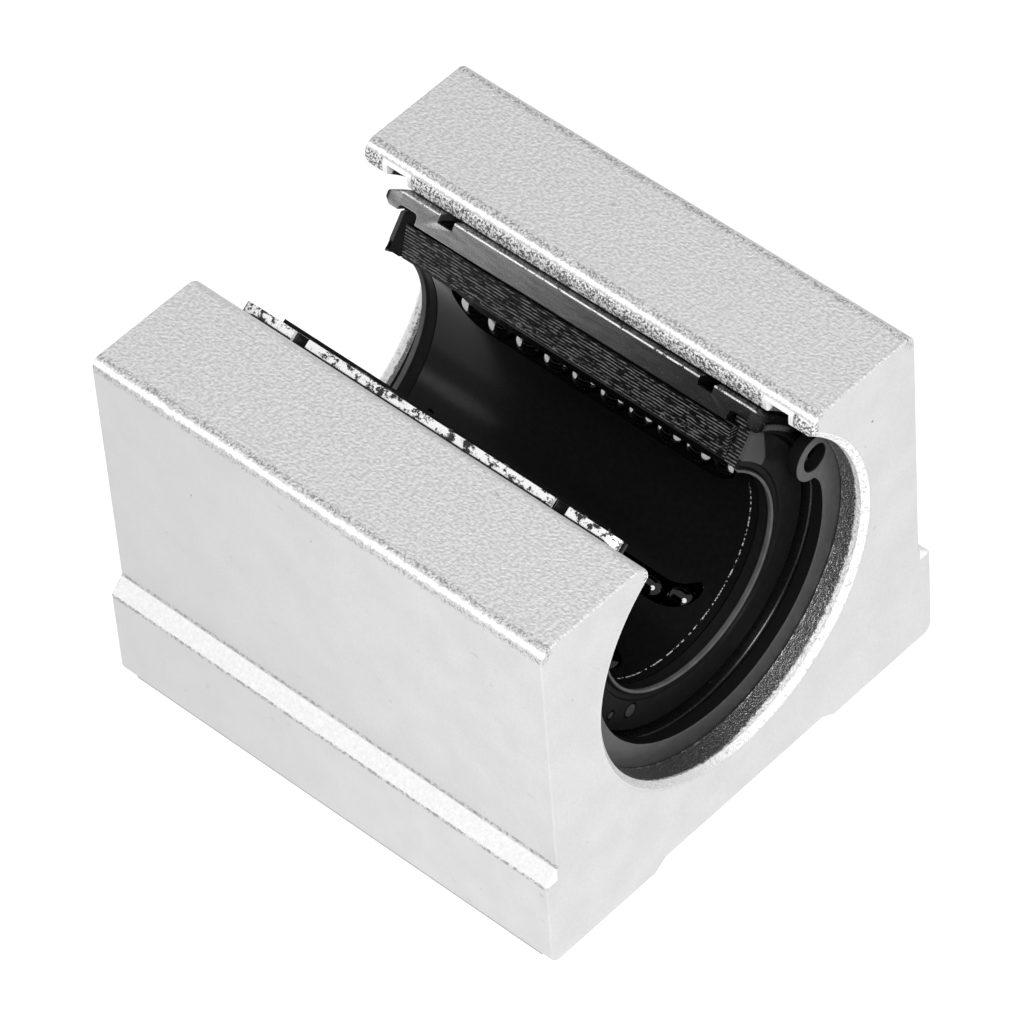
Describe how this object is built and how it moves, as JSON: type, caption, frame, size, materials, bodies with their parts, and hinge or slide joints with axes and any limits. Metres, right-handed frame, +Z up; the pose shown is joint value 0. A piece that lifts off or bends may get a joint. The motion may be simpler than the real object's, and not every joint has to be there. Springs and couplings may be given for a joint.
{
  "type": "linear ball bushing",
  "caption": "Open linear ball bushing in an aluminium pillow block, slotted along the top so that it runs on a shaft held up by a rail.",
  "frame": {"origin": "bottom centre of the block, on the plane of its mounting face, midway along its length", "axes": "+X across the block, +Y along the shaft, +Z up from the mounting face towards the open slot"},
  "size_m": [0.048, 0.05, 0.0376],
  "materials": {
    "block_aluminium": "blasted extruded aluminium, satin, with bright worn edges",
    "sleeve_steel": "dark ground bearing steel",
    "retainer_plastic": "glossy black moulded plastic",
    "seal_rubber": "smooth black rubber",
    "spring_steel": "dark phosphated spring steel",
    "ball_steel": "polished bearing balls",
    "black_screw_steel": "black oxide"
  },
  "bodies": {
    "block": {"bearing_block": "block_aluminium", "outer_sleeve": "sleeve_steel", "ball_retainer": "retainer_plastic", "locking_set_screw": "black_screw_steel", "seal_front": "seal_rubber", "seal_rear": "seal_rubber", "snap_ring_front": "spring_steel", "snap_ring_rear": "spring_steel"},
    "ball_upper_right_01": {"ball_upper_right_01": "ball_steel"},
    "ball_upper_right_02": {"ball_upper_right_02": "ball_steel"},
    "ball_upper_right_03": {"ball_upper_right_03": "ball_steel"},
    "ball_upper_right_04": {"ball_upper_right_04": "ball_steel"},
    "ball_upper_right_05": {"ball_upper_right_05": "ball_steel"},
    "ball_upper_right_06": {"ball_upper_right_06": "ball_steel"},
    "ball_upper_right_07": {"ball_upper_right_07": "ball_steel"},
    "ball_upper_right_08": {"ball_upper_right_08": "ball_steel"},
    "ball_upper_right_09": {"ball_upper_right_09": "ball_steel"},
    "ball_upper_right_10": {"ball_upper_right_10": "ball_steel"},
    "ball_lower_right_01": {"ball_lower_right_01": "ball_steel"},
    "ball_lower_right_02": {"ball_lower_right_02": "ball_steel"},
    "ball_lower_right_03": {"ball_lower_right_03": "ball_steel"},
    "ball_lower_right_04": {"ball_lower_right_04": "ball_steel"},
    "ball_lower_right_05": {"ball_lower_right_05": "ball_steel"},
    "ball_lower_right_06": {"ball_lower_right_06": "ball_steel"},
    "ball_lower_right_07": {"ball_lower_right_07": "ball_steel"},
    "ball_lower_right_08": {"ball_lower_right_08": "ball_steel"},
    "ball_lower_right_09": {"ball_lower_right_09": "ball_steel"},
    "ball_lower_right_10": {"ball_lower_right_10": "ball_steel"},
    "ball_lower_left_01": {"ball_lower_left_01": "ball_steel"},
    "ball_lower_left_02": {"ball_lower_left_02": "ball_steel"},
    "ball_lower_left_03": {"ball_lower_left_03": "ball_steel"},
    "ball_lower_left_04": {"ball_lower_left_04": "ball_steel"},
    "ball_lower_left_05": {"ball_lower_left_05": "ball_steel"},
    "ball_lower_left_06": {"ball_lower_left_06": "ball_steel"},
    "ball_lower_left_07": {"ball_lower_left_07": "ball_steel"},
    "ball_lower_left_08": {"ball_lower_left_08": "ball_steel"},
    "ball_lower_left_09": {"ball_lower_left_09": "ball_steel"},
    "ball_lower_left_10": {"ball_lower_left_10": "ball_steel"},
    "ball_upper_left_01": {"ball_upper_left_01": "ball_steel"},
    "ball_upper_left_02": {"ball_upper_left_02": "ball_steel"},
    "ball_upper_left_03": {"ball_upper_left_03": "ball_steel"},
    "ball_upper_left_04": {"ball_upper_left_04": "ball_steel"},
    "ball_upper_left_05": {"ball_upper_left_05": "ball_steel"},
    "ball_upper_left_06": {"ball_upper_left_06": "ball_steel"},
    "ball_upper_left_07": {"ball_upper_left_07": "ball_steel"},
    "ball_upper_left_08": {"ball_upper_left_08": "ball_steel"},
    "ball_upper_left_09": {"ball_upper_left_09": "ball_steel"},
    "ball_upper_left_10": {"ball_upper_left_10": "ball_steel"}
  },
  "joints": [
    {"name": "roll_upper_right_01", "type": "hinge", "parent": "block", "child": "ball_upper_right_01", "pos_m": [0.01161, -0.01427, 0.02438], "axis": [0.0958, -0.5848, -0.8055], "continuous": true},
    {"name": "roll_upper_right_02", "type": "hinge", "parent": "block", "child": "ball_upper_right_02", "pos_m": [0.01156, -0.0112, 0.02381], "axis": [0.0698, 0, -0.9976], "continuous": true},
    {"name": "roll_upper_right_03", "type": "hinge", "parent": "block", "child": "ball_upper_right_03", "pos_m": [0.01156, -0.008, 0.02381], "axis": [0.0698, 0, -0.9976], "continuous": true},
    {"name": "roll_upper_right_04", "type": "hinge", "parent": "block", "child": "ball_upper_right_04", "pos_m": [0.01156, -0.0048, 0.02381], "axis": [0.0698, 0, -0.9976], "continuous": true},
    {"name": "roll_upper_right_05", "type": "hinge", "parent": "block", "child": "ball_upper_right_05", "pos_m": [0.01156, -0.0016, 0.02381], "axis": [0.0698, 0, -0.9976], "continuous": true},
    {"name": "roll_upper_right_06", "type": "hinge", "parent": "block", "child": "ball_upper_right_06", "pos_m": [0.01156, 0.0016, 0.02381], "axis": [0.0698, 0, -0.9976], "continuous": true},
    {"name": "roll_upper_right_07", "type": "hinge", "parent": "block", "child": "ball_upper_right_07", "pos_m": [0.01156, 0.0048, 0.02381], "axis": [0.0698, 0, -0.9976], "continuous": true},
    {"name": "roll_upper_right_08", "type": "hinge", "parent": "block", "child": "ball_upper_right_08", "pos_m": [0.01156, 0.008, 0.02381], "axis": [0.0698, 0, -0.9976], "continuous": true},
    {"name": "roll_upper_right_09", "type": "hinge", "parent": "block", "child": "ball_upper_right_09", "pos_m": [0.01156, 0.0112, 0.02381], "axis": [0.0698, 0, -0.9976], "continuous": true},
    {"name": "roll_upper_right_10", "type": "hinge", "parent": "block", "child": "ball_upper_right_10", "pos_m": [0.01161, 0.01427, 0.02438], "axis": [0.0958, 0.5848, -0.8055], "continuous": true},
    {"name": "roll_lower_right_01", "type": "hinge", "parent": "block", "child": "ball_lower_right_01", "pos_m": [0.0049, -0.01427, 0.01238], "axis": [-0.7365, -0.5848, -0.3401], "continuous": true},
    {"name": "roll_lower_right_02", "type": "hinge", "parent": "block", "child": "ball_lower_right_02", "pos_m": [0.00434, -0.0112, 0.01226], "axis": [-0.9272, 0, -0.3746], "continuous": true},
    {"name": "roll_lower_right_03", "type": "hinge", "parent": "block", "child": "ball_lower_right_03", "pos_m": [0.00434, -0.008, 0.01226], "axis": [-0.9272, 0, -0.3746], "continuous": true},
    {"name": "roll_lower_right_04", "type": "hinge", "parent": "block", "child": "ball_lower_right_04", "pos_m": [0.00434, -0.0048, 0.01226], "axis": [-0.9272, 0, -0.3746], "continuous": true},
    {"name": "roll_lower_right_05", "type": "hinge", "parent": "block", "child": "ball_lower_right_05", "pos_m": [0.00434, -0.0016, 0.01226], "axis": [-0.9272, 0, -0.3746], "continuous": true},
    {"name": "roll_lower_right_06", "type": "hinge", "parent": "block", "child": "ball_lower_right_06", "pos_m": [0.00434, 0.0016, 0.01226], "axis": [-0.9272, 0, -0.3746], "continuous": true},
    {"name": "roll_lower_right_07", "type": "hinge", "parent": "block", "child": "ball_lower_right_07", "pos_m": [0.00434, 0.0048, 0.01226], "axis": [-0.9272, 0, -0.3746], "continuous": true},
    {"name": "roll_lower_right_08", "type": "hinge", "parent": "block", "child": "ball_lower_right_08", "pos_m": [0.00434, 0.008, 0.01226], "axis": [-0.9272, 0, -0.3746], "continuous": true},
    {"name": "roll_lower_right_09", "type": "hinge", "parent": "block", "child": "ball_lower_right_09", "pos_m": [0.00434, 0.0112, 0.01226], "axis": [-0.9272, 0, -0.3746], "continuous": true},
    {"name": "roll_lower_right_10", "type": "hinge", "parent": "block", "child": "ball_lower_right_10", "pos_m": [0.0049, 0.01427, 0.01238], "axis": [-0.7365, 0.5848, -0.3401], "continuous": true},
    {"name": "roll_lower_left_01", "type": "hinge", "parent": "block", "child": "ball_lower_left_01", "pos_m": [-0.0049, -0.01427, 0.01238], "axis": [-0.7365, 0.5848, 0.3401], "continuous": true},
    {"name": "roll_lower_left_02", "type": "hinge", "parent": "block", "child": "ball_lower_left_02", "pos_m": [-0.00434, -0.0112, 0.01226], "axis": [-0.9272, 0, 0.3746], "continuous": true},
    {"name": "roll_lower_left_03", "type": "hinge", "parent": "block", "child": "ball_lower_left_03", "pos_m": [-0.00434, -0.008, 0.01226], "axis": [-0.9272, 0, 0.3746], "continuous": true},
    {"name": "roll_lower_left_04", "type": "hinge", "parent": "block", "child": "ball_lower_left_04", "pos_m": [-0.00434, -0.0048, 0.01226], "axis": [-0.9272, 0, 0.3746], "continuous": true},
    {"name": "roll_lower_left_05", "type": "hinge", "parent": "block", "child": "ball_lower_left_05", "pos_m": [-0.00434, -0.0016, 0.01226], "axis": [-0.9272, 0, 0.3746], "continuous": true},
    {"name": "roll_lower_left_06", "type": "hinge", "parent": "block", "child": "ball_lower_left_06", "pos_m": [-0.00434, 0.0016, 0.01226], "axis": [-0.9272, 0, 0.3746], "continuous": true},
    {"name": "roll_lower_left_07", "type": "hinge", "parent": "block", "child": "ball_lower_left_07", "pos_m": [-0.00434, 0.0048, 0.01226], "axis": [-0.9272, 0, 0.3746], "continuous": true},
    {"name": "roll_lower_left_08", "type": "hinge", "parent": "block", "child": "ball_lower_left_08", "pos_m": [-0.00434, 0.008, 0.01226], "axis": [-0.9272, 0, 0.3746], "continuous": true},
    {"name": "roll_lower_left_09", "type": "hinge", "parent": "block", "child": "ball_lower_left_09", "pos_m": [-0.00434, 0.0112, 0.01226], "axis": [-0.9272, 0, 0.3746], "continuous": true},
    {"name": "roll_lower_left_10", "type": "hinge", "parent": "block", "child": "ball_lower_left_10", "pos_m": [-0.0049, 0.01427, 0.01238], "axis": [-0.7365, -0.5848, 0.3401], "continuous": true},
    {"name": "roll_upper_left_01", "type": "hinge", "parent": "block", "child": "ball_upper_left_01", "pos_m": [-0.01161, -0.01427, 0.02438], "axis": [0.0958, 0.5848, 0.8055], "continuous": true},
    {"name": "roll_upper_left_02", "type": "hinge", "parent": "block", "child": "ball_upper_left_02", "pos_m": [-0.01156, -0.0112, 0.02381], "axis": [0.0698, 0, 0.9976], "continuous": true},
    {"name": "roll_upper_left_03", "type": "hinge", "parent": "block", "child": "ball_upper_left_03", "pos_m": [-0.01156, -0.008, 0.02381], "axis": [0.0698, 0, 0.9976], "continuous": true},
    {"name": "roll_upper_left_04", "type": "hinge", "parent": "block", "child": "ball_upper_left_04", "pos_m": [-0.01156, -0.0048, 0.02381], "axis": [0.0698, 0, 0.9976], "continuous": true},
    {"name": "roll_upper_left_05", "type": "hinge", "parent": "block", "child": "ball_upper_left_05", "pos_m": [-0.01156, -0.0016, 0.02381], "axis": [0.0698, 0, 0.9976], "continuous": true},
    {"name": "roll_upper_left_06", "type": "hinge", "parent": "block", "child": "ball_upper_left_06", "pos_m": [-0.01156, 0.0016, 0.02381], "axis": [0.0698, 0, 0.9976], "continuous": true},
    {"name": "roll_upper_left_07", "type": "hinge", "parent": "block", "child": "ball_upper_left_07", "pos_m": [-0.01156, 0.0048, 0.02381], "axis": [0.0698, 0, 0.9976], "continuous": true},
    {"name": "roll_upper_left_08", "type": "hinge", "parent": "block", "child": "ball_upper_left_08", "pos_m": [-0.01156, 0.008, 0.02381], "axis": [0.0698, 0, 0.9976], "continuous": true},
    {"name": "roll_upper_left_09", "type": "hinge", "parent": "block", "child": "ball_upper_left_09", "pos_m": [-0.01156, 0.0112, 0.02381], "axis": [0.0698, 0, 0.9976], "continuous": true},
    {"name": "roll_upper_left_10", "type": "hinge", "parent": "block", "child": "ball_upper_left_10", "pos_m": [-0.01161, 0.01427, 0.02438], "axis": [0.0958, -0.5848, 0.8055], "continuous": true}
  ],
  "couplings": [
    {"joint": "roll_upper_right_02", "follows": "roll_upper_right_01", "ratio": 1},
    {"joint": "roll_upper_right_03", "follows": "roll_upper_right_01", "ratio": 1},
    {"joint": "roll_upper_right_04", "follows": "roll_upper_right_01", "ratio": 1},
    {"joint": "roll_upper_right_05", "follows": "roll_upper_right_01", "ratio": 1},
    {"joint": "roll_upper_right_06", "follows": "roll_upper_right_01", "ratio": 1},
    {"joint": "roll_upper_right_07", "follows": "roll_upper_right_01", "ratio": 1},
    {"joint": "roll_upper_right_08", "follows": "roll_upper_right_01", "ratio": 1},
    {"joint": "roll_upper_right_09", "follows": "roll_upper_right_01", "ratio": 1},
    {"joint": "roll_upper_right_10", "follows": "roll_upper_right_01", "ratio": 1},
    {"joint": "roll_lower_right_01", "follows": "roll_upper_right_01", "ratio": 1},
    {"joint": "roll_lower_right_02", "follows": "roll_upper_right_01", "ratio": 1},
    {"joint": "roll_lower_right_03", "follows": "roll_upper_right_01", "ratio": 1},
    {"joint": "roll_lower_right_04", "follows": "roll_upper_right_01", "ratio": 1},
    {"joint": "roll_lower_right_05", "follows": "roll_upper_right_01", "ratio": 1},
    {"joint": "roll_lower_right_06", "follows": "roll_upper_right_01", "ratio": 1},
    {"joint": "roll_lower_right_07", "follows": "roll_upper_right_01", "ratio": 1},
    {"joint": "roll_lower_right_08", "follows": "roll_upper_right_01", "ratio": 1},
    {"joint": "roll_lower_right_09", "follows": "roll_upper_right_01", "ratio": 1},
    {"joint": "roll_lower_right_10", "follows": "roll_upper_right_01", "ratio": 1},
    {"joint": "roll_lower_left_01", "follows": "roll_upper_right_01", "ratio": 1},
    {"joint": "roll_lower_left_02", "follows": "roll_upper_right_01", "ratio": 1},
    {"joint": "roll_lower_left_03", "follows": "roll_upper_right_01", "ratio": 1},
    {"joint": "roll_lower_left_04", "follows": "roll_upper_right_01", "ratio": 1},
    {"joint": "roll_lower_left_05", "follows": "roll_upper_right_01", "ratio": 1},
    {"joint": "roll_lower_left_06", "follows": "roll_upper_right_01", "ratio": 1},
    {"joint": "roll_lower_left_07", "follows": "roll_upper_right_01", "ratio": 1},
    {"joint": "roll_lower_left_08", "follows": "roll_upper_right_01", "ratio": 1},
    {"joint": "roll_lower_left_09", "follows": "roll_upper_right_01", "ratio": 1},
    {"joint": "roll_lower_left_10", "follows": "roll_upper_right_01", "ratio": 1},
    {"joint": "roll_upper_left_01", "follows": "roll_upper_right_01", "ratio": 1},
    {"joint": "roll_upper_left_02", "follows": "roll_upper_right_01", "ratio": 1},
    {"joint": "roll_upper_left_03", "follows": "roll_upper_right_01", "ratio": 1},
    {"joint": "roll_upper_left_04", "follows": "roll_upper_right_01", "ratio": 1},
    {"joint": "roll_upper_left_05", "follows": "roll_upper_right_01", "ratio": 1},
    {"joint": "roll_upper_left_06", "follows": "roll_upper_right_01", "ratio": 1},
    {"joint": "roll_upper_left_07", "follows": "roll_upper_right_01", "ratio": 1},
    {"joint": "roll_upper_left_08", "follows": "roll_upper_right_01", "ratio": 1},
    {"joint": "roll_upper_left_09", "follows": "roll_upper_right_01", "ratio": 1},
    {"joint": "roll_upper_left_10", "follows": "roll_upper_right_01", "ratio": 1}
  ]
}
